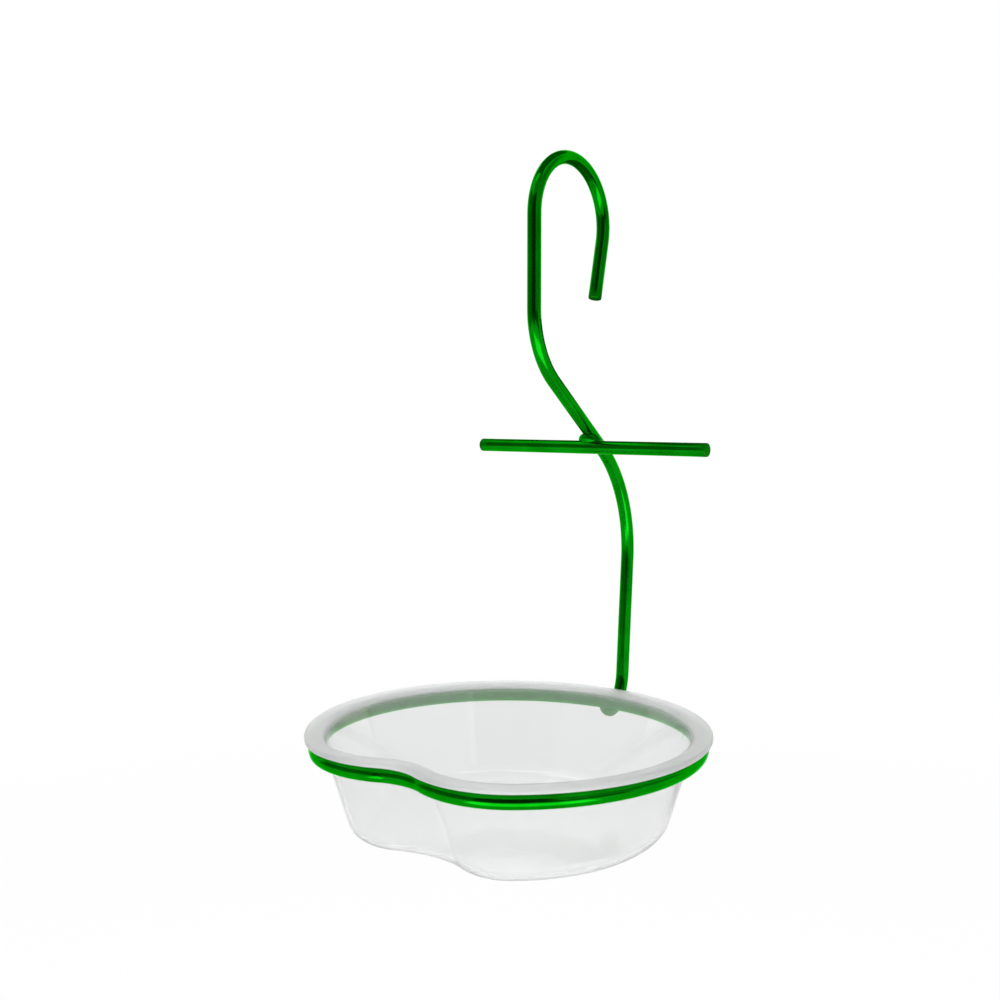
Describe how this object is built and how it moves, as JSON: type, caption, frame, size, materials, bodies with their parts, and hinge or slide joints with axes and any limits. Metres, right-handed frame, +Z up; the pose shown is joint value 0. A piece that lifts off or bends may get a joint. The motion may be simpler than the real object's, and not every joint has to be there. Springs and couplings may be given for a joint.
{
  "type": "hanging bird feeder cup",
  "caption": "Hanging bird feeder: a clear apple-outline seed cup lifts out of a green wire ring, on a bent wire hanger with a hook and a cross skewer for fruit.",
  "frame": {"origin": "the place where the hook bears: the underside of the wire at the top of its arch", "axes": "+Z up as it hangs, +Y from the dent in the cup's front towards the stem, +X along the skewer"},
  "size_m": [0.1582, 0.1638, 0.2685],
  "materials": {
    "green_coat": "glossy baked-on green coat",
    "clear_plastic": "clear moulded plastic, slightly milky"
  },
  "bodies": {
    "wire_frame": {"hanger_rod": "green_coat", "cup_ring": "green_coat", "fruit_skewer": "green_coat", "stem_weld": "green_coat", "skewer_weld": "green_coat"},
    "cup": {"cup": "clear_plastic"}
  },
  "joints": [
    {"name": "cup_lift", "type": "slide", "parent": "wire_frame", "child": "cup", "axis": [0, 0, 1], "range_m": [0, 0.06]}
  ]
}
